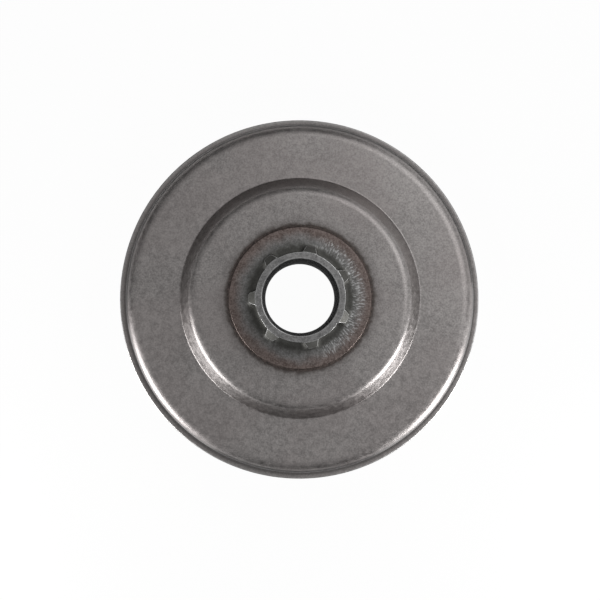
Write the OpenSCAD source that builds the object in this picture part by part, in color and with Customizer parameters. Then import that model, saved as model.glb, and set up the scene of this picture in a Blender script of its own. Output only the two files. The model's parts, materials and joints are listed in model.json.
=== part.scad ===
// Clutch drum of a chainsaw, with the splined hub that carries its rim sprocket.
// It stands on its open end with the spline up. Z is the shaft's axis, and the
// origin is the middle of the open end. Millimetres and degrees.

/* [Drum wall] */
// Outside diameter of the wall, where the brake band grips
wall_d = 79.6; // [74:0.2:90]
// Thickness of the sheet that the drum is pressed from
sheet_t = 2; // [1.6:0.1:2.4]
// Height of the flat outer ring above the open end
ring_h = 19.5; // [17:0.5:26]
// Inside radius of the bend between the outer ring and the wall
rim_bend_r = 1; // [0.6:0.1:2.5]
// Width of the lip that is turned out at the open end
lip_w = 3.8; // [2.4:0.1:6]
// Inside radius of the bend between the wall and the lip
lip_bend_r = 0.9; // [0.5:0.1:1.4]
// Width of the chamfers on the lip's trimmed edge and on the drum's hole
trim_break = 0.3; // [0.1:0.05:0.5]

/* [Raised centre] */
// Diameter of the crease at the foot of the raised centre
foot_d = 54.4; // [50:0.2:64]
// Height of the raised centre above the outer ring
rise_h = 4.6; // [3.2:0.1:6.5]
// Slope of the side of the raised centre, up from the outer ring
rise_angle = 58; // [45:1:70]
// Inside radius of the bend round the top of the raised centre
crown_bend_r = 0.4; // [0.3:0.1:1.5]
// Inside radius of the bend in the crease
crease_bend_r = 0.5; // [0.3:0.1:1]

/* [Hub] */
// Bore, in which the needle cage of the shaft runs
bore_d = 16; // [14:0.1:17]
// Length of the hub from its front face to its rear face
hub_l = 25.5; // [22:0.5:34]
// Diameter of the flange that fills the hole of the drum
flange_d = 31.6; // [28:0.2:35]
// Height of the flange's face above the sheet
flange_proud = 0.4; // [0.25:0.05:1]
// Width of the chamfer round the flange's face
flange_break = 0.2; // [0.05:0.05:0.22]
// Width of the shoulder that bears on the back of the sheet
shoulder_w = 2.2; // [1:0.1:3.5]
// Thickness of that shoulder
shoulder_t = 2.4; // [1.5:0.1:3.5]
// Diameter of the boss inside the drum
boss_d = 23.6; // [21:0.2:27]
// Radius of the fillet between the boss and the shoulder
boss_fillet_r = 1; // [0.4:0.1:1.6]
// Width of the chamfers on the boss and on the shoulder
boss_break = 0.5; // [0.2:0.1:0.9]
// Width of the bore's chamfer at the front
bore_front_break = 0.2; // [0.1:0.05:0.4]
// Width of the bore's chamfer at the rear
bore_rear_break = 0.6; // [0.2:0.1:1]

/* [Spline] */
// Number of teeth
tooth_n = 7; // [6:1:8]
// Direction of the first tooth, turned from +X
first_tooth = 26.7; // [0:0.1:51.4]
// Diameter at the root of the teeth
root_d = 18.9; // [18.2:0.1:20]
// Diameter over the tips of the teeth
tip_d = 22; // [21.2:0.1:23]
// Width of a tooth at the root diameter
tooth_root_w = 3; // [2.5:0.1:3.8]
// Width of a tooth at the tip diameter
tooth_tip_w = 1.9; // [1.3:0.1:2.3]
// Radius on the edges of a tooth's tip
tip_edge_r = 0.45; // [0.3:0.05:0.55]
// Radius in the corners at a tooth's root
root_corner_r = 0.5; // [0.3:0.1:0.8]
// Length of the spline in front of the flange
spline_l = 13.5; // [11:0.5:18]
// Radius of the fillet that follows the spline round its foot
spline_foot_r = 1.4; // [0.6:0.1:1.8]
// Width of the chamfer round the spline's front face, between the teeth
face_break = 0.3; // [0.1:0.05:0.4]
// Width of the flat face that a tooth keeps outside the root diameter
tooth_land_w = 0.1; // [0:0.05:0.4]
// Width of the first, blunt stage of the lead-in on a tooth's end
lead_blunt_w = 0.3; // [0.1:0.05:0.5]
// Angle of the second stage of the lead-in, measured from the axis
lead_angle = 33; // [25:1:45]

/* [Braze] */
// Gap that the braze fills between the hub and the drum
braze_gap = 0.1; // [0.05:0.05:0.2]
// How far the braze creeps out over the drum's front
braze_front_w = 0.5; // [0.4:0.05:0.9]
// Leg of the braze fillet behind the sheet, round the hub's shoulder
braze_back_w = 0.7; // [0.3:0.1:1]

/* [Hidden] */
$fn = 120;

// Steps of a bend in the sheet, of a fillet and of a corner of a tooth
BEND_STEPS = 8;
FILLET_STEPS = 4;
CORNER_STEPS = 3;
// Depth to which one shape runs into the next, so that the two become one
SINK = 0.5;
// Depth to which the end of an arc runs in, so that it cuts the surface at an angle
ARC_SINK = 0.02;
// Length by which a cutter stands out at both ends
OVER = 1;

wall_r = wall_d / 2;
lip_r = wall_r + lip_w;
foot_r = foot_d / 2;
crown_r = foot_r - rise_h / tan(rise_angle);
bore_r = bore_d / 2;
flange_r = flange_d / 2;
hole_r = flange_r + braze_gap;
shoulder_r = flange_r + shoulder_w;
boss_r = boss_d / 2;
root_r = root_d / 2;
tip_r = tip_d / 2;

// Heights, from the open end up to the spline's front face
top_z = ring_h + rise_h;
sheet_back_z = top_z - sheet_t;
seat_z = sheet_back_z - braze_gap;
shoulder_z = seat_z - shoulder_t;
flange_z = top_z + flange_proud;
front_z = flange_z + spline_l;
rear_z = front_z - hub_l;

// Unit vector from the point a to the point b
function way(a, b) = (b - a) / norm(b - a);

// A vector turned by an angle, and turned a quarter turn to its right
function turned(v, angle) = [v[0] * cos(angle) - v[1] * sin(angle), v[0] * sin(angle) + v[1] * cos(angle)];
function right_of(v) = [v[1], -v[0]];

// Angle by which a path turns to its left at its corner i
function turn_at(path, i) =
    let (a = way(path[i - 1], path[i]), b = way(path[i], path[i + 1]))
    atan2(a[0] * b[1] - a[1] * b[0], a * b);

// Corner i of the line that runs beside a path, at the distance t to its right
function beside(path, i, t) =
    let (a = right_of(way(path[i - 1], path[i])), b = right_of(way(path[i], path[i + 1])))
    path[i] + t * (a + b) / (1 + a * b);

// Arc of the radius r that rounds the corner i of a path
function bend(path, i, r) =
    let (
        ahead = way(path[i - 1], path[i]),
        turn = turn_at(path, i),
        arm = sign(turn) * r * right_of(ahead),
        middle = path[i] - ahead * r * tan(abs(turn) / 2) - arm
    )
    [for (k = [0:BEND_STEPS]) middle + turned(arm, turn * k / BEND_STEPS)];

// A path with all its inner corners rounded, where radii[i] belongs to corner i
function bent(path, radii) = [
    path[0],
    for (i = [1:len(path) - 2]) each bend(path, i, radii[i]),
    path[len(path) - 1]
];

function reversed(list) = [for (i = [len(list) - 1:-1:0]) list[i]];

// Hollow quarter arc in the corner [r, z], with one leg out to r + w and one up or down to z + h
function hollow(r, z, w, h) = [
    for (k = [0:FILLET_STEPS])
        let (a = 90 * k / FILLET_STEPS)
        [r + w * (1 - cos(a)), z + h * (1 - sin(a))]
];

// Section of the pressed drum. Its front is a path from the hole out to the lip's
// edge, and its back runs beside that path, one sheet thickness away. Each bend has
// its inside radius on its hollow side and one sheet thickness more on the other.
module drum_section() {
    front = [
        [hole_r + trim_break, top_z],
        [crown_r, top_z],
        [foot_r, ring_h],
        [wall_r, ring_h],
        [wall_r, sheet_t],
        [lip_r - trim_break, sheet_t]
    ];
    last = len(front) - 1;
    back = [
        [hole_r, sheet_back_z],
        for (i = [1:last - 1]) beside(front, i, sheet_t),
        [lip_r - trim_break, 0]
    ];
    inside = [0, crown_bend_r, crease_bend_r, rim_bend_r, lip_bend_r, 0];
    front_radii = [for (i = [0:last]) inside[i] + (i > 0 && i < last && turn_at(front, i) < 0 ? sheet_t : 0)];
    back_radii = [for (i = [0:last]) inside[i] + (i > 0 && i < last && turn_at(front, i) > 0 ? sheet_t : 0)];
    polygon(concat(
        [[hole_r, top_z - trim_break]],
        bent(front, front_radii),
        [[lip_r, sheet_t - trim_break], [lip_r, trim_break]],
        reversed(bent(back, back_radii))
    ));
}

module drum() {
    color("dimgray") rotate_extrude() drum_section();
}

// Unit vector at an angle
function around(a) = [cos(a), sin(a)];

// Point at which the line from start along the unit vector u reaches the radius r
function on_circle(start, u, r) =
    let (b = start * u)
    start + u * (sqrt(b * b - start * start + r * r) - b);

// Outline of a tooth that points along +X, moved out by grow, in the order of rising
// angle. Its flanks run straight from the root width to the tip width. The edges of
// its tip and the corners at its root are arcs, tangent to the flank and to the circle
// of the tip or of the root. It ends inside the root circle.
function tooth_outline(grow) =
    let (
        root = root_r + grow,
        tip = tip_r + grow,
        edge = tip_edge_r + grow,
        low = [root_r, tooth_root_w / 2],
        flank = way(low, [tip_r, tooth_tip_w / 2]),
        out = -right_of(flank),
        flank_a = atan2(out[1], out[0]),
        edge_mid = on_circle(low + out * (grow - edge), flank, tip - edge),
        edge_a = atan2(edge_mid[1], edge_mid[0]),
        corner_mid = on_circle(low + out * (grow + root_corner_r), flank, root - ARC_SINK + root_corner_r),
        corner_a = atan2(corner_mid[1], corner_mid[0]),
        half = concat(
            [for (k = [0:CORNER_STEPS]) edge_mid + edge * around(edge_a + (flank_a - edge_a) * k / CORNER_STEPS)],
            [for (k = [0:CORNER_STEPS])
                corner_mid - root_corner_r * around(flank_a + (corner_a - flank_a) * k / CORNER_STEPS)],
            [(root_r - SINK) * around(corner_a)]
        )
    )
    concat([for (p = reversed(half)) [p[0], -p[1]]], [[tip, 0]], half);

// A solid through outlines that have the same number of points. Each entry of
// stages is [height, outline].
module stacked(stages) {
    n = len(stages[0][1]);
    m = len(stages);
    polyhedron(
        [for (s = stages) each [for (p = s[1]) [p[0], p[1], s[0]]]],
        concat(
            [[for (i = [0:n - 1]) i]],
            [for (j = [0:m - 2]) for (i = [0:n - 1])
                let (a = j * n + i, b = j * n + (i + 1) % n)
                each [[a, a + n, b + n], [a, b + n, b]]],
            [[for (i = [n - 1:-1:0]) (m - 1) * n + i]]
        )
    );
}

// The straight part of a tooth, above its foot
module tooth() {
    translate([0, 0, flange_z + spline_foot_r])
        linear_extrude(height = spline_l - spline_foot_r) polygon(tooth_outline(0));
}

// The hollow foot of a tooth, which spreads in a quarter arc on to the flange
module tooth_foot() {
    stacked(concat(
        [[flange_z - SINK, tooth_outline(spline_foot_r)]],
        [for (k = [0:FILLET_STEPS])
            let (a = 90 * k / FILLET_STEPS, sunk = k == 0 ? ARC_SINK : 0)
            [flange_z - sunk + spline_foot_r * (1 - cos(a)), tooth_outline(spline_foot_r * (1 - sin(a)))]]
    ));
}

// A shape repeated at every tooth
module each_tooth() {
    for (i = [0:tooth_n - 1]) rotate([0, 0, first_tooth + 360 * i / tooth_n]) children();
}

// Space that the lead-in leaves to the teeth: a cylinder with a cone in two stages on its end
module lead_in_envelope() {
    land_r = root_r + tooth_land_w;
    blunt_r = land_r + lead_blunt_w;
    outer_r = tip_r + spline_foot_r + OVER;
    rotate_extrude() polygon([
        [0, flange_z - SINK - OVER],
        [outer_r, flange_z - SINK - OVER],
        [outer_r, front_z - lead_blunt_w - (outer_r - blunt_r) / tan(lead_angle)],
        [blunt_r, front_z - lead_blunt_w],
        [land_r, front_z],
        [0, front_z]
    ]);
}

// Boss, shoulder, flange and the core of the spline with its foot, solid to the axis.
// The seam of its surface, which lies at -X, is turned to the middle of a gap.
module hub_blank() {
    rotate([0, 0, first_tooth + 180 / tooth_n - 180]) rotate_extrude() polygon(concat(
        [[0, rear_z], [boss_r - boss_break, rear_z], [boss_r, rear_z + boss_break]],
        hollow(boss_r, shoulder_z, boss_fillet_r, -boss_fillet_r),
        [
            [shoulder_r - boss_break, shoulder_z],
            [shoulder_r, shoulder_z + boss_break],
            [shoulder_r, seat_z],
            [flange_r, seat_z],
            [flange_r, flange_z - flange_break],
            [flange_r - flange_break, flange_z]
        ],
        reversed(hollow(root_r, flange_z, spline_foot_r, spline_foot_r)),
        [[root_r, front_z - face_break], [root_r - face_break, front_z], [0, front_z]]
    ));
}

// The bore and its two chamfers
module bore_cutter() {
    translate([0, 0, rear_z - OVER]) cylinder(r = bore_r, h = hub_l + 2 * OVER);
    translate([0, 0, rear_z - OVER])
        cylinder(r1 = bore_r + bore_rear_break + OVER, r2 = bore_r, h = bore_rear_break + OVER);
    translate([0, 0, front_z - bore_front_break])
        cylinder(r1 = bore_r, r2 = bore_r + bore_front_break + OVER, h = bore_front_break + OVER);
}

module hub() {
    color("gray") difference() {
        union() {
            hub_blank();
            each_tooth() tooth_foot();
            intersection() {
                each_tooth() tooth();
                lead_in_envelope();
            }
        }
        bore_cutter();
    }
}

// The braze as one ring: a film up the side of the flange and over the shoulder,
// with a hollow fillet at each end
module braze() {
    color("sienna") rotate_extrude() polygon(concat(
        hollow(flange_r, top_z, braze_front_w, flange_proud - flange_break),
        [
            [hole_r + trim_break, top_z],
            [hole_r, top_z - trim_break],
            [hole_r, sheet_back_z]
        ],
        reversed(hollow(shoulder_r, sheet_back_z, braze_back_w, -braze_back_w)),
        [[shoulder_r, seat_z], [flange_r, seat_z]]
    ));
}

drum();
hub();
braze();
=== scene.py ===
"""Looks of a chainsaw clutch drum with the splined hub that carries its rim sprocket.

The drum stands on its open end with the spline up. Lengths are in metres, in the frame's own
axes: Z is the shaft's axis, and the origin is the middle of the open end.
"""
import json

import bpy
import numpy as np
from mathutils import Matrix, Vector


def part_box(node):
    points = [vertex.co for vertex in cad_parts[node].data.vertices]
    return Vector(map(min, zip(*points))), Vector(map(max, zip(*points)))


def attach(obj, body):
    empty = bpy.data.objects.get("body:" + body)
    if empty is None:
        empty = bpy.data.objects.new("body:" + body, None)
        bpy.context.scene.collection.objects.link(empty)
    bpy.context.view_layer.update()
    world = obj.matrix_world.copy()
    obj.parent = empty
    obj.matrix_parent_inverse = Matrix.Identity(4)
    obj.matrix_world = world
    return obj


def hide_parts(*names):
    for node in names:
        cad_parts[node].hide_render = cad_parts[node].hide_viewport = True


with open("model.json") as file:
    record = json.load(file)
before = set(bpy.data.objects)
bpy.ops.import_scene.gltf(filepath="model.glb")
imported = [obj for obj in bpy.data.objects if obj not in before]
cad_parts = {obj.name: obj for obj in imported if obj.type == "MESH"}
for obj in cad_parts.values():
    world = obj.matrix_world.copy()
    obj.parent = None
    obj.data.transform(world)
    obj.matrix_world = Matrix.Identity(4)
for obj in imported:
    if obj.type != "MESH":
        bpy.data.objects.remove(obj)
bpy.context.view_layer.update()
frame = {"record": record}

MM = 0.001

# Sizes that the frame gives, in millimetres
drum_low, drum_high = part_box("drum")
hub_low, hub_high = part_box("hub")
mount_dims = {m["name"]: m["dims"] for m in frame["record"]["mounts"]}
LIP_R = drum_high.x / MM
TOP_Z = drum_high.z / MM
REAR_Z = hub_low.z / MM
FRONT_Z = hub_high.z / MM
SHOULDER_R = hub_high.x / MM
BORE_R = mount_dims["shaft_bore"]["r_mm"]
WALL_R = mount_dims["brake_band_wall"]["r_mm"]

# The pressed sheet, in millimetres
SHEET_T = 2.0
RING_Z = 19.5
FOOT_R = 27.2
RISE_ANGLE = 58.0
CROWN_BEND_R = 0.4
CREASE_BEND_R = 0.5
RIM_BEND_R = 1.0
LIP_BEND_R = 0.9
TRIM_BREAK = 0.3
LIP_CURL = 0.14
LIP_CURL_W = 1.5
LIP_CURL_R = 2.0
HOLE_R = 15.9
DRUM_COLUMNS = 360

# The hub, in millimetres
FLANGE_R = 15.8
FLANGE_Z = TOP_Z + 0.4
FLANGE_BREAK = 0.2
SEAT_Z = TOP_Z - SHEET_T - 0.1
SHOULDER_Z = SEAT_Z - 2.4
BOSS_R = 11.8
BOSS_BREAK = 0.5
BOSS_FILLET_R = 1.0
BORE_FRONT_BREAK = 0.2
BORE_REAR_BREAK = 0.6
FACE_EDGE_R = 0.08

# The braze ring, in millimetres
BRAZE_FRONT_W = 0.5
BRAZE_BACK_W = 0.7
BRAZE_RISE = 0.19
BRAZE_COLUMNS = 480

# The spline, in millimetres and degrees
TOOTH_N = 7
FIRST_TOOTH = 26.7
ROOT_R = 9.45
TIP_R = 11.0
TOOTH_ROOT_W = 3.0
TOOTH_TIP_W = 1.9
TIP_EDGE_R = 0.45
ROOT_CORNER_R = 0.5
FOOT_FILLET_R = 1.4
FACE_BREAK = 0.3
LAND_W = 0.1
BLUNT_W = 0.3
LEAD_ANGLE = 33.0

# The camera stands over the hub as in the photograph, in metres
CAMERA_PLACE = Vector((-0.0017, -0.0029, 0.258))
CAMERA_AIM = Vector((0.00014, -0.00018, 0.0))
CAMERA_LENS = 63.2
CAMERA_SENSOR = 36.0

# The studio, in metres and degrees
WORLD_GREY = 0.365
PAPER_SHARE = 0.97
FLOOR_HALF = 4.0
FLOOR_Z = -5e-5
LAMP_AIM = Vector((0.0, 0.0, 0.018))


def circle_grid(section, angles):
    """Points of a section [r, z] turned round Z: x = r cos a, y = r sin a, in millimetres."""
    r, z = section[:, 0, None], section[:, 1, None]
    return np.stack([r * np.cos(angles), r * np.sin(angles), z + 0 * angles], axis=-1)


def edge_wear_and_sheen(grid):
    """How sharply a grid of points in millimetres bends outwards, from 0 (1.2 mm radius) to 1.

    The curvature along a row or a column is the change of the unit tangent over the mean length
    of the two steps, taken against the outward normal. The greater of the two counts, and is
    scaled from 0.8 to 3.5 per millimetre.
    """
    def steps(axis):
        ahead = np.roll(grid, -1, axis) - grid
        length = np.maximum(np.linalg.norm(ahead, axis=-1, keepdims=True), 1e-6)
        return ahead / length, length

    bends, tangents = [], []
    for axis in (0, 1):
        way, length = steps(axis)
        before, length_before = np.roll(way, 1, axis), np.roll(length, 1, axis)
        bends.append((way - before) / np.maximum((length + length_before) / 2, 0.02))
        tangents.append(way + before)
    normal = np.cross(tangents[1], tangents[0])
    normal /= np.maximum(np.linalg.norm(normal, axis=-1, keepdims=True), 1e-9)
    widest = np.hypot(grid[:, 0, 0], grid[:, 0, 1]).argmax()
    normal *= np.sign((normal[widest, :, :2] * grid[widest, :, :2]).sum())
    sharp = np.max([-(bend * normal).sum(axis=-1) for bend in bends], axis=0)
    return np.clip((sharp - 0.8) / 2.7, 0, 1)


def ring_piece(name, grid, material, node):
    """A closed ring through a grid of points in millimetres that wraps round in both directions.

    Grid point [i, j] joins [i + 1, j], [i + 1, j + 1] and [i, j + 1]. The volume under the
    faces, sum of a . (b x c) / 6, tells whether they point inwards, and then they are turned.
    """
    rows, cols = grid.shape[:2]
    points = grid.reshape(-1, 3) * MM
    i, j = np.meshgrid(np.arange(rows), np.arange(cols), indexing="ij")
    i2, j2 = (i + 1) % rows, (j + 1) % cols
    quads = np.stack([i * cols + j, i2 * cols + j, i2 * cols + j2, i * cols + j2], axis=-1).reshape(-1, 4)
    a, b, c, d = (points[quads[:, k]] for k in range(4))
    volume = np.einsum("ij,ij->", a, np.cross(b, c)) + np.einsum("ij,ij->", a, np.cross(c, d))
    if volume < 0:
        quads = quads[:, ::-1]
    mesh = bpy.data.meshes.new(name)
    mesh.vertices.add(len(points))
    mesh.vertices.foreach_set("co", points.ravel())
    mesh.loops.add(quads.size)
    mesh.loops.foreach_set("vertex_index", quads.ravel())
    mesh.polygons.add(len(quads))
    mesh.polygons.foreach_set("loop_start", np.arange(len(quads)) * 4)
    mesh.polygons.foreach_set("use_smooth", np.ones(len(quads), bool))
    # The attribute marks sharp edges, which the finishes lighten as worn metal and as painted highlights
    mesh.attributes.new("wear", "FLOAT", "POINT").data.foreach_set("value", edge_wear_and_sheen(grid).ravel())
    mesh.update(calc_edges=True)
    mesh.validate()
    piece = bpy.data.objects.new(name, mesh)
    bpy.context.scene.collection.objects.link(piece)
    mesh.materials.append(material)
    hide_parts(node)
    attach(piece, "root")
    return piece


def unit(v):
    return v / np.linalg.norm(v)


def rounded_loop(corners, radii, step=6.0, margin=0.03):
    """A closed outline with its corners rounded by arcs, and points along its straight stretches.

    At each corner an arc of the given radius touches both sides, turn / step points round. A
    straight stretch keeps a point close to each of its ends, so that the smooth shading of the
    arcs doesn't run out over the flat.
    """
    corners = np.asarray(corners, float)
    n = len(corners)
    out = []
    for i in range(n):
        p, q, s = corners[i - 1], corners[i], corners[(i + 1) % n]
        ahead, then = unit(q - p), unit(s - q)
        turn = np.arctan2(ahead[0] * then[1] - ahead[1] * then[0], ahead @ then)
        if radii[i] <= 0 or abs(turn) < 1e-6:
            out.append(q[None])
            continue
        reach = radii[i] * np.tan(abs(turn) / 2)
        side = np.sign(turn) * np.array([-ahead[1], ahead[0]])
        middle = q - ahead * reach + side * radii[i]
        k = np.linspace(0, turn, max(3, int(np.ceil(abs(np.degrees(turn)) / step)) + 1))
        arm = -side * radii[i]
        arc = middle + np.stack([arm[0] * np.cos(k) - arm[1] * np.sin(k),
                                 arm[0] * np.sin(k) + arm[1] * np.cos(k)], axis=-1)
        out += [(arc[0] - ahead * margin)[None], arc, (arc[-1] + then * margin)[None]]
    return np.concatenate(out)


def divided(outline, longest):
    """A closed outline with its long sides cut into equal stretches no longer than given."""
    after = np.roll(outline, -1, axis=0)
    counts = np.maximum(1, np.ceil(np.linalg.norm(after - outline, axis=1) / longest)).astype(int)
    which = np.repeat(np.arange(len(outline)), counts)
    share = np.concatenate([np.arange(c) / c for c in counts])[:, None]
    return outline[which] * (1 - share) + after[which] * share


def beside(path, t):
    """The inner corners of a path moved t to its right, each on the line that halves its corner."""
    ways = np.diff(path, axis=0)
    ways = ways / np.linalg.norm(ways, axis=1)[:, None]
    right = np.stack([ways[:, 1], -ways[:, 0]], axis=-1)
    a, b = right[:-1], right[1:]
    return path[1:-1] + t * (a + b) / (1 + (a * b).sum(axis=1))[:, None]


def drum_section():
    """Section [r, z] of the pressed drum: its front from the hole to the lip, and back inside."""
    crown_r = FOOT_R - (TOP_Z - RING_Z) / np.tan(np.radians(RISE_ANGLE))
    front = np.array([[HOLE_R, TOP_Z], [crown_r, TOP_Z], [FOOT_R, RING_Z],
                      [WALL_R, RING_Z], [WALL_R, SHEET_T], [LIP_R, SHEET_T]])
    back = np.concatenate([[[HOLE_R, TOP_Z - SHEET_T]], beside(front, SHEET_T), [[LIP_R, 0]]])
    front = np.insert(front, 5, [LIP_R - LIP_CURL_W, SHEET_T], axis=0)
    inner = [CROWN_BEND_R, CREASE_BEND_R, RIM_BEND_R, LIP_BEND_R]
    hollow_front = [False, True, False, True]
    front_radii = [r if hollow else r + SHEET_T for r, hollow in zip(inner, hollow_front)]
    back_radii = [r + SHEET_T if hollow else r for r, hollow in zip(inner, hollow_front)]
    front[-1, 1] += LIP_CURL
    corners = np.concatenate([front, back[::-1]])
    radii = [TRIM_BREAK, *front_radii, LIP_CURL_R, TRIM_BREAK, TRIM_BREAK,
             *back_radii[::-1], TRIM_BREAK / 2]
    return divided(rounded_loop(corners, radii), 1.5)


def tooth_outline(grow):
    """Half outline [r, angle] of a tooth on +X, moved out by grow, from its tip to the root circle.

    The flank is straight. An arc about edge_mid joins it to the tip circle, and a hollow arc
    about corner_mid joins it to the root circle.
    """
    root, tip, edge = ROOT_R + grow, TIP_R + grow, TIP_EDGE_R + grow
    low = np.array([ROOT_R, TOOTH_ROOT_W / 2])
    flank = unit(np.array([TIP_R, TOOTH_TIP_W / 2]) - low)
    out = np.array([-flank[1], flank[0]])

    def on_circle(start, r):
        b = start @ flank
        return start + flank * (np.sqrt(b * b - start @ start + r * r) - b)

    def arc(middle, r, a0, a1, n=12):
        a = np.linspace(a0, a1, n)
        return middle + r * np.stack([np.cos(a), np.sin(a)], axis=-1)

    edge_mid = on_circle(low + out * (grow - edge), tip - edge)
    corner_mid = on_circle(low + out * (grow + ROOT_CORNER_R), root + ROOT_CORNER_R)
    flank_a = np.arctan2(out[1], out[0])
    edge_a, corner_a = np.arctan2(edge_mid[1], edge_mid[0]), np.arctan2(corner_mid[1], corner_mid[0])
    points = np.concatenate([[[tip, 0]], arc(edge_mid, edge, edge_a, flank_a),
                             arc(corner_mid, -ROOT_CORNER_R, flank_a, corner_a)])
    return np.hypot(*points.T), np.arctan2(points[:, 1], points[:, 0])


def spline_radius(angles, grow):
    """Radius of the spline's outline at each angle, moved out by grow: tooth or root circle."""
    pitch = 2 * np.pi / TOOTH_N
    off = np.abs((angles - np.radians(FIRST_TOOTH) + pitch / 2) % pitch - pitch / 2)
    r, a = tooth_outline(grow)
    return np.interp(off, a, r, right=ROOT_R + grow)


def soft_least(a, b, blend):
    """The lesser of two values, with the step between them rounded over the width blend."""
    h = np.clip(0.5 + 0.5 * (b - a) / blend, 0, 1)
    return b * (1 - h) + a * h - blend * h * (1 - h)


def soft_most(a, b, blend):
    return -soft_least(-a, -b, blend)


def tooth_angles():
    """Angles of the hub's columns, close together at the flanks of the teeth."""
    half = np.concatenate([np.linspace(0, 2.6, 5)[:-1], np.linspace(2.6, 13.5, 26)[:-1],
                           np.linspace(13.5, 180 / TOOTH_N, 9)[:-1]])
    whole = np.concatenate([half, 360 / TOOTH_N - half[:0:-1], [180 / TOOTH_N]])
    whole = np.sort(whole)
    pitches = np.arange(TOOTH_N)[:, None] * 360 / TOOTH_N
    return np.radians((FIRST_TOOTH + pitches + whole).ravel())


def hub_grid():
    """The hub as rows [r(angle), z]: up the bore, over the front face, down the spline and back.

    Each row is a ring. The spline's rows take the greater of the chamfered core and of the
    tooth that the lead-in cone cuts. The foot's rows take the outline moved out by
    R (1 - sin t) at the height R (1 - cos t).
    """
    angles = tooth_angles()
    one = np.ones_like(angles)
    rows = []

    def add(r, z):
        rows.append((r * one, z * one))

    def line(r0, z0, r1, z1, n, first=0.0):
        for k in np.linspace(first, 1, n):
            add(r0 + (r1 - r0) * k, z0 + (z1 - z0) * k)

    # Bore, from the rear to the front
    line(BORE_R + BORE_REAR_BREAK, REAR_Z, BORE_R, REAR_Z + BORE_REAR_BREAK, 5)
    line(BORE_R, REAR_Z + BORE_REAR_BREAK, BORE_R, FRONT_Z - BORE_FRONT_BREAK, 14, 0.002)
    line(BORE_R, FRONT_Z - BORE_FRONT_BREAK, BORE_R + BORE_FRONT_BREAK, FRONT_Z, 5, 0.2)

    def outline(z):
        """The spline's outline at a height above its foot."""
        down = FRONT_Z - z
        core = ROOT_R - np.clip(FACE_BREAK - down, 0, FACE_BREAK)
        blunt = ROOT_R + LAND_W + down
        cone = ROOT_R + LAND_W + BLUNT_W + (down - BLUNT_W) * np.tan(np.radians(LEAD_ANGLE))
        tooth = soft_least(spline_radius(angles, 0), soft_least(blunt, cone, 0.1) * one, 0.12)
        return soft_most(core * one, tooth, 0.08)

    # Front face, out to the outline, whose edge is rounded by a tenth of a millimetre
    edge = outline(FRONT_Z)
    inner = BORE_R + BORE_FRONT_BREAK
    for k in (0.03, 0.15, 0.35, 0.55, 0.75, 0.9):
        add(inner + (edge - inner) * k, FRONT_Z)
    for a in np.radians(np.arange(0, 46, 11.25)):
        add(edge - FACE_EDGE_R * (1 - np.sin(a)), FRONT_Z - FACE_EDGE_R * (1 - np.cos(a)))

    # Teeth, down to the foot
    top = FRONT_Z - 0.03
    for z in np.concatenate([np.linspace(top, FRONT_Z - 0.6, 14),
                             np.linspace(FRONT_Z - 0.7, FRONT_Z - 2.5, 20),
                             np.linspace(FRONT_Z - 3.2, FLANGE_Z + FOOT_FILLET_R + 0.05, 9)]):
        add(outline(z), z)
    for t in np.radians(np.linspace(90, 0, 15)):
        rise = FOOT_FILLET_R * (1 - np.cos(t))
        add(spline_radius(angles, FOOT_FILLET_R * (1 - np.sin(t))), FLANGE_Z + rise)
    foot = spline_radius(angles, FOOT_FILLET_R)
    for k in (0.02, 0.1, 0.3, 0.5, 0.7, 0.9, 0.99):
        add(foot + (FLANGE_R - FLANGE_BREAK - foot) * k, FLANGE_Z)

    # Flange edge, seat, shoulder, boss and rear face
    tail = rounded_loop(
        [[FLANGE_R - 1, FLANGE_Z], [FLANGE_R, FLANGE_Z], [FLANGE_R, SEAT_Z], [SHOULDER_R, SEAT_Z],
         [SHOULDER_R, SHOULDER_Z], [BOSS_R, SHOULDER_Z], [BOSS_R, REAR_Z],
         [BORE_R + BORE_REAR_BREAK + 0.2, REAR_Z]],
        [0, FLANGE_BREAK, 0.1, 0.15, BOSS_BREAK, BOSS_FILLET_R, BOSS_BREAK, 0], step=12.0)[1:]
    tail = divided(tail, 2.0)
    for r, z in tail[:-1]:
        add(r, z)
    r, z = (np.stack(column) for column in zip(*rows))
    return np.stack([r * np.cos(angles), r * np.sin(angles), z], axis=-1)


def drum_grid():
    return circle_grid(drum_section(), np.linspace(0, 2 * np.pi, DRUM_COLUMNS + 1)[:-1])


def wavy(angles, seed, waves, fade=0.5):
    """Sum of waves round the circle, sin(n a + phase) / n^fade, scaled to lie within -1 and 1."""
    chance = np.random.default_rng(seed)
    n = np.asarray(waves)[:, None]
    value = (np.sin(n * angles + chance.uniform(0, 2 * np.pi, n.shape)) / n ** fade).sum(axis=0)
    return value / np.abs(value).max()


def braze_grid():
    """The braze ring: its front runs out in a hollow fillet whose width wanders round the hub."""
    angles = np.linspace(0, 2 * np.pi, BRAZE_COLUMNS + 1)[:-1]
    front_w = BRAZE_FRONT_W + 0.12 * wavy(angles, 5, range(2, 60))
    back_w = BRAZE_BACK_W + 0.1 * wavy(angles, 8, range(3, 30))
    rows = []
    for a in np.radians(np.linspace(90, 0, 9)):
        rise = BRAZE_RISE * (1 - np.cos(a))
        rows.append((FLANGE_R + front_w * (1 - np.sin(a)), TOP_Z + rise + 0 * angles))
    rows = rows[::-1]
    one = np.ones_like(angles)
    rows.append((HOLE_R * one, (TOP_Z - TRIM_BREAK) * one))
    rows.append((HOLE_R * one, (TOP_Z - SHEET_T) * one))
    for a in np.radians(np.linspace(0, 90, 9)):
        rows.append((SHOULDER_R + back_w * (1 - np.sin(a)), TOP_Z - SHEET_T - back_w * (1 - np.cos(a))))
    rows.append((SHOULDER_R * one, SEAT_Z * one))
    rows.append((FLANGE_R * one, SEAT_Z * one))
    r, z = (np.stack(column) for column in zip(*rows))
    return np.stack([r * np.cos(angles), r * np.sin(angles), z], axis=-1)


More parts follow.
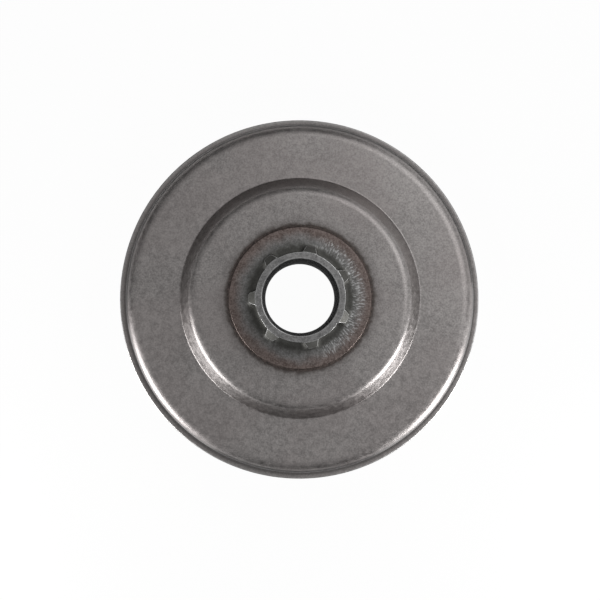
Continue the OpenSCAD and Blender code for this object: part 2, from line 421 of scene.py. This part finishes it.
class Finish:
    """A node material and short ways to add to it. Scales are in features per metre."""

    def __init__(self, name):
        self.material = bpy.data.materials.new(name)
        self.material.use_nodes = True
        self.tree = self.material.node_tree
        self.tree.nodes.clear()
        self.out = self.tree.nodes.new("ShaderNodeOutputMaterial")
        self.shader = self.tree.nodes.new("ShaderNodeBsdfPrincipled")
        self.tree.links.new(self.shader.outputs[0], self.out.inputs["Surface"])
        self.place = self.tree.nodes.new("ShaderNodeTexCoord").outputs["Object"]

    def node(self, kind, inputs, output=0, **settings):
        made = self.tree.nodes.new(kind)
        for key, value in settings.items():
            setattr(made, key, value)
        for key, value in inputs.items():
            if isinstance(value, bpy.types.NodeSocket):
                self.tree.links.new(value, made.inputs[key])
            else:
                made.inputs[key].default_value = value
        return made.outputs[output]

    def math(self, operation, a, b):
        return self.node("ShaderNodeMath", {0: a, 1: b}, operation=operation)

    def noise(self, scale, detail, rough, place=None):
        return self.node("ShaderNodeTexNoise", {
            "Vector": place or self.place, "Scale": scale, "Detail": detail, "Roughness": rough})

    def ramp(self, value, low, high, to_low=0.0, to_high=1.0):
        return self.node("ShaderNodeMapRange", {
            "Value": value, "From Min": low, "From Max": high, "To Min": to_low, "To Max": to_high},
            interpolation_type="SMOOTHSTEP")

    def mix(self, share, a, b):
        made = self.tree.nodes.new("ShaderNodeMix")
        made.data_type = "RGBA"
        for key, value in ((0, share), (6, a), (7, b)):
            if isinstance(value, bpy.types.NodeSocket):
                self.tree.links.new(value, made.inputs[key])
            else:
                made.inputs[key].default_value = value
        return made.outputs[2]

    def radius(self):
        """Distance from the shaft's axis in millimetres."""
        flat = self.node("ShaderNodeVectorMath", {0: self.place, 1: (1 / MM, 1 / MM, 0)},
                         operation="MULTIPLY")
        return self.node("ShaderNodeVectorMath", {0: flat}, output=1, operation="LENGTH")

    def height(self):
        """Height over the open end in millimetres."""
        z = self.node("ShaderNodeSeparateXYZ", {0: self.place}, output=2)
        return self.math("MULTIPLY", z, 1 / MM)

    def wear(self):
        """The piece's worn edges and painted edge highlights, broken up by a fine noise."""
        edge = self.node("ShaderNodeAttribute", {}, output=2, attribute_name="wear")
        return self.math("MULTIPLY", edge, self.ramp(self.noise(1500, 3, 0.6), 0.3, 0.55))

    def bump(self, height, distance, strength):
        return self.node("ShaderNodeBump", {"Height": height, "Distance": distance, "Strength": strength})


def grey(value, warm=0.0):
    """A linear grey, made warmer by the share warm: more red, and less blue by a third of it."""
    return (value * (1 + warm), value, value * (1 - warm / 3), 1.0)


def pressed_steel():
    """Tumbled sheet steel: fine speckle, cloudy patches, flux and darkening at the seam, dirt down the wall
    with painted shade over the rim's bend, painted shade in the lip's corner, a painted highlight on the
    lip's outer edge, and sharp edges both worn and painted bright as highlights.
    """
    f = Finish("pressed_steel_tumbled")
    r = f.radius()
    speckle = f.noise(3000, 2, 0.65)
    grain = f.noise(900, 3, 0.6)
    cloud = f.noise(90, 3, 0.5)
    tone = f.math("ADD", f.math("MULTIPLY", speckle, 0.55), f.math("MULTIPLY", grain, 0.3))
    tone = f.math("ADD", tone, f.math("MULTIPLY", cloud, 0.15))
    steel = f.mix(f.ramp(tone, 0.34, 0.66), grey(0.26, 0.06), grey(0.46, 0.06))
    tint = f.ramp(f.noise(55, 2, 0.5), 0.4, 0.62)
    steel = f.mix(f.math("MULTIPLY", tint, 0.25), steel, (0.36, 0.315, 0.31, 1))
    # Brown flux creeps out from the seam, with a ragged edge
    ragged = f.math("ADD", r, f.math("MULTIPLY", f.noise(700, 4, 0.65), 1.6))
    creep = f.ramp(ragged, 18.0, 17.1)
    steel = f.mix(f.math("MULTIPLY", creep, 0.8), steel, (0.09, 0.072, 0.062, 1))
    # The plateau is darkened towards the seam, with the same ragged edge
    seam_darkening = f.ramp(ragged, 19.8, 17.4)
    steel = f.mix(f.math("MULTIPLY", seam_darkening, 0.35), steel, (0.14, 0.125, 0.12, 1))
    # Dirt from the brake band darkens the wall, and painted shade darkens the steep part of the rim's bend
    # above it
    wall = f.ramp(r, WALL_R - 0.9, WALL_R - 0.2)
    beyond = f.ramp(r, WALL_R + 0.1, WALL_R + 1.5)
    wall = f.math("MULTIPLY", wall, f.math("SUBTRACT", 1.0, beyond))
    steel = f.mix(f.math("MULTIPLY", wall, 0.62), steel, grey(0.12, 0.02))
    # Painted shade darkens the lip's corner by the wall, and a painted highlight lightens the lip's outer
    # edge
    corner = f.math("MULTIPLY", f.ramp(r, LIP_R - 0.7, LIP_R - 1.15), f.ramp(r, WALL_R + 0.4, WALL_R + 1.0))
    steel = f.mix(f.math("MULTIPLY", corner, 0.55), steel, grey(0.1, 0.02))
    steel = f.mix(f.math("MULTIPLY", f.ramp(r, LIP_R - 0.8, LIP_R - 0.2), 0.4), steel, grey(0.6, 0.02))
    # Sharp edges are lightened, partly as worn metal and partly as painted highlights
    steel = f.mix(f.math("MULTIPLY", f.wear(), 0.7), steel, grey(0.66, 0.02))
    f.tree.links.new(steel, f.shader.inputs["Base Color"])
    f.shader.inputs["Metallic"].default_value = 1.0
    rough = f.math("MAXIMUM", f.ramp(grain, 0.3, 0.7, 0.37, 0.5), f.math("MULTIPLY", creep, 0.65))
    f.tree.links.new(rough, f.shader.inputs["Roughness"])
    f.tree.links.new(f.bump(tone, 0.00004, 0.6), f.shader.inputs["Normal"])
    return f.material


def machined_steel():
    """Turned and broached steel: dirt on the teeth and painted shade round the foot, brown with old heat at
    the flange's edge, scratches painted bright on one side of the flange, edges both worn and painted
    bright, a painted highlight at the bore's mouth and painted shade in the bore.
    """
    f = Finish("machined_steel_oiled")
    r = f.radius()
    speckle = f.noise(2800, 3, 0.65)
    grain = f.noise(700, 3, 0.6)
    tone = f.math("ADD", f.math("MULTIPLY", speckle, 0.65), f.math("MULTIPLY", grain, 0.35))
    steel = f.mix(f.ramp(tone, 0.34, 0.66), grey(0.2, 0.01), grey(0.38, 0.01))
    brown = f.mix(f.ramp(tone, 0.34, 0.66), (0.14, 0.108, 0.097, 1), (0.29, 0.238, 0.222, 1))
    heat = f.ramp(f.math("ADD", r, f.math("MULTIPLY", f.noise(300, 3, 0.6), 3.0)), 13.6, 16.6)
    colour = f.mix(heat, steel, brown)
    # Dirt on the teeth and painted shade round the foot, thinning out over the flange
    grime_and_shade = f.ramp(f.math("ADD", r, f.math("MULTIPLY", f.noise(900, 4, 0.65), 2.4)), 14.9, 12.2)
    grime_and_shade = f.math("MULTIPLY", grime_and_shade, f.ramp(r, ROOT_R - 0.05, ROOT_R + 0.15))
    colour = f.mix(f.math("MULTIPLY", grime_and_shade, 0.82), colour, (0.095, 0.094, 0.084, 1))
    # Scratches run out over the flange, painted bright as a highlight only on its +X side
    split = f.node("ShaderNodeSeparateXYZ", {0: f.place}).node.outputs
    turn = f.math("MULTIPLY", f.math("ARCTAN2", split[1], split[0]), 12 * MM)
    rays = f.node("ShaderNodeCombineXYZ", {0: turn, 1: f.math("MULTIPLY", r, 0.3 * MM)})
    side = f.ramp(f.math("DIVIDE", f.math("MULTIPLY", split[0], 1 / MM), r), 0.2, 0.55)
    band = f.math("MULTIPLY", f.ramp(r, 11.4, 12.3), f.ramp(r, 14.9, 13.7))
    scratch_and_sheen = f.ramp(f.noise(3200, 2, 0.6, place=rays), 0.5, 0.64)
    scratch_and_sheen = f.math("MULTIPLY", scratch_and_sheen, f.math("MULTIPLY", side, band))
    colour = f.mix(f.math("MULTIPLY", scratch_and_sheen, 0.85), colour, grey(0.66))
    # Edges round the teeth are lightened as worn metal and as painted highlights, and a painted highlight
    # rings the bore's mouth
    teeth = f.math("MULTIPLY", f.ramp(r, BORE_R - 0.1, BORE_R), f.ramp(r, 12.5, 11.5))
    wear = f.math("MULTIPLY", f.wear(), teeth)
    near_face = f.ramp(f.height(), FRONT_Z - 0.3, FRONT_Z - 0.2)
    mouth = f.math("MULTIPLY", f.ramp(r, BORE_R + 0.34, BORE_R + 0.2), near_face)
    mouth = f.math("MULTIPLY", mouth, f.ramp(f.noise(500, 3, 0.6), 0.35, 0.55, 0.4, 0.9))
    wear = f.math("MAXIMUM", wear, mouth)
    colour = f.mix(f.math("MULTIPLY", wear, 0.9), colour, grey(0.74))
    # Painted shade makes the bore near-black and matt
    bore = f.ramp(r, BORE_R + 0.05, BORE_R + 0.01)
    colour = f.mix(bore, colour, grey(0.02))
    f.tree.links.new(colour, f.shader.inputs["Base Color"])
    f.tree.links.new(f.math("SUBTRACT", 1.0, bore), f.shader.inputs["Metallic"])
    rough = f.math("MAXIMUM", f.ramp(grain, 0.3, 0.7, 0.36, 0.5), bore)
    rough = f.math("MAXIMUM", rough, f.math("MULTIPLY", grime_and_shade, 0.62))
    rough = f.math("SUBTRACT", rough, f.math("MULTIPLY", wear, 0.2))
    f.tree.links.new(rough, f.shader.inputs["Roughness"])
    f.tree.links.new(f.bump(tone, 0.00003, 0.6), f.shader.inputs["Normal"])
    return f.material


def braze_metal():
    """Dull brown braze with a dark skin of flux."""
    f = Finish("braze_fluxed")
    tone = f.noise(1500, 3, 0.6)
    colour = f.mix(f.ramp(tone, 0.35, 0.65), (0.05, 0.04, 0.036, 1), (0.13, 0.1, 0.09, 1))
    f.tree.links.new(colour, f.shader.inputs["Base Color"])
    f.shader.inputs["Metallic"].default_value = 0.4
    f.tree.links.new(f.ramp(tone, 0.3, 0.7, 0.5, 0.75), f.shader.inputs["Roughness"])
    f.tree.links.new(f.bump(tone, 0.00006, 0.8), f.shader.inputs["Normal"])
    return f.material


def floor_finish():
    """White paper: it shows white to the camera and in reflections, and keeps a share of its shadow."""
    f = Finish("white_paper")
    f.shader.inputs["Base Color"].default_value = (0.9, 0.9, 0.9, 1)
    f.shader.inputs["Roughness"].default_value = 1.0
    f.shader.inputs["Specular IOR Level"].default_value = 0.0
    rays = f.tree.nodes.new("ShaderNodeLightPath").outputs
    seen = f.math("MAXIMUM", rays["Is Camera Ray"], rays["Is Glossy Ray"])
    seen = f.math("MAXIMUM", seen, rays["Is Transmission Ray"])
    glow = f.node("ShaderNodeEmission", {"Color": (1, 1, 1, 1), "Strength": 1.0})
    share = f.math("MULTIPLY", seen, PAPER_SHARE)
    both = f.node("ShaderNodeMixShader", {0: share, 1: f.shader.outputs[0], 2: glow})
    f.tree.links.new(both, f.out.inputs["Surface"])
    return f.material


def add_floor():
    mesh = bpy.data.meshes.new("floor")
    corners = [(x * FLOOR_HALF, y * FLOOR_HALF, FLOOR_Z) for x, y in ((-1, -1), (1, -1), (1, 1), (-1, 1))]
    mesh.from_pydata(corners, [], [(0, 1, 2, 3)])
    mesh.materials.append(floor_finish())
    floor = bpy.data.objects.new("floor", mesh)
    bpy.context.scene.collection.objects.link(floor)


def add_flag(name, from_angle, to_angle, radius, height):
    """A black card that stands on the floor round part of the object, as an arc about Z."""
    a = np.radians(np.linspace(from_angle, to_angle, 25))
    low = np.stack([radius * np.cos(a), radius * np.sin(a), 0 * a], axis=-1)
    points = np.concatenate([low, low + [0, 0, height]])
    n = len(a)
    mesh = bpy.data.meshes.new(name)
    mesh.from_pydata(points.tolist(), [], [(k, k + 1, k + 1 + n, k + n) for k in range(n - 1)])
    f = Finish(name)
    f.shader.inputs["Base Color"].default_value = (0.15, 0.15, 0.15, 1)
    f.shader.inputs["Roughness"].default_value = 1.0
    f.shader.inputs["Specular IOR Level"].default_value = 0.0
    mesh.materials.append(f.material)
    flag = bpy.data.objects.new(name, mesh)
    flag.visible_camera = False
    flag.visible_shadow = False
    bpy.context.scene.collection.objects.link(flag)


def aimed(place, aim, up):
    """Matrix at a place whose -Z looks at the aim and whose Y leans towards up."""
    back = (place - aim).normalized()
    right = up.cross(back).normalized()
    turn = Matrix((right, back.cross(right), back)).transposed()
    return Matrix.Translation(place) @ turn.to_4x4()


def add_lamp(name, azimuth, elevation, distance, size, power):
    """A rectangular soft lamp that looks at the middle of the drum."""
    a, e = np.radians([azimuth, elevation])
    place = LAMP_AIM + distance * Vector((np.cos(a) * np.cos(e), np.sin(a) * np.cos(e), np.sin(e)))
    light = bpy.data.lights.new(name, "AREA")
    light.shape = "RECTANGLE"
    light.size, light.size_y = size
    light.energy = power
    lamp = bpy.data.objects.new(name, light)
    bpy.context.scene.collection.objects.link(lamp)
    lamp.visible_camera = False
    lamp.matrix_world = aimed(place, LAMP_AIM, Vector((0, 0, 1)))


def add_world():
    """Dim grey light from all round, which shows white to the camera."""
    world = bpy.data.worlds.new("studio")
    world.use_nodes = True
    nodes, links = world.node_tree.nodes, world.node_tree.links
    sky = nodes.new("ShaderNodeMix")
    sky.data_type = "RGBA"
    sky.inputs[6].default_value = grey(WORLD_GREY)
    sky.inputs[7].default_value = grey(1.0)
    links.new(nodes.new("ShaderNodeLightPath").outputs["Is Camera Ray"], sky.inputs[0])
    links.new(sky.outputs[2], nodes["Background"].inputs["Color"])
    bpy.context.scene.world = world


def add_studio():
    add_world()
    add_floor()
    add_flag("flag_back", 62, 192, 0.16, 0.12)
    add_flag("flag_front", 240, 300, 0.16, 0.12)
    add_flag("low_flag_back", 5, 188, 0.052, 0.013)
    add_flag("low_flag_front", 240, 296, 0.052, 0.013)
    add_lamp("low_left", 211, -6, 0.13, (0.06, 0.024), 0.03)
    add_lamp("high_left", 211, 4, 0.132, (0.07, 0.018), 0.065)
    add_lamp("low_right", 325, -7, 0.13, (0.05, 0.024), 0.045)
    add_lamp("high_right", 325, 4, 0.132, (0.05, 0.018), 0.07)
    add_lamp("broad_right", 35, 52, 0.6, (0.45, 0.45), 0.88)


def add_camera():
    data = bpy.data.cameras.new("camera")
    data.lens = CAMERA_LENS
    data.sensor_width = CAMERA_SENSOR
    data.clip_start, data.clip_end = 0.01, 20
    camera = bpy.data.objects.new("camera", data)
    bpy.context.scene.collection.objects.link(camera)
    camera.matrix_world = aimed(CAMERA_PLACE, CAMERA_AIM, Vector((0, 1, 0)))
    bpy.context.scene.camera = camera


bpy.context.scene.view_settings.view_transform = "Standard"
add_camera()
add_studio()
ring_piece("drum_shell", drum_grid(), pressed_steel(), "drum")
ring_piece("splined_hub", hub_grid(), machined_steel(), "hub")
ring_piece("braze_ring", braze_grid(), braze_metal(), "braze")
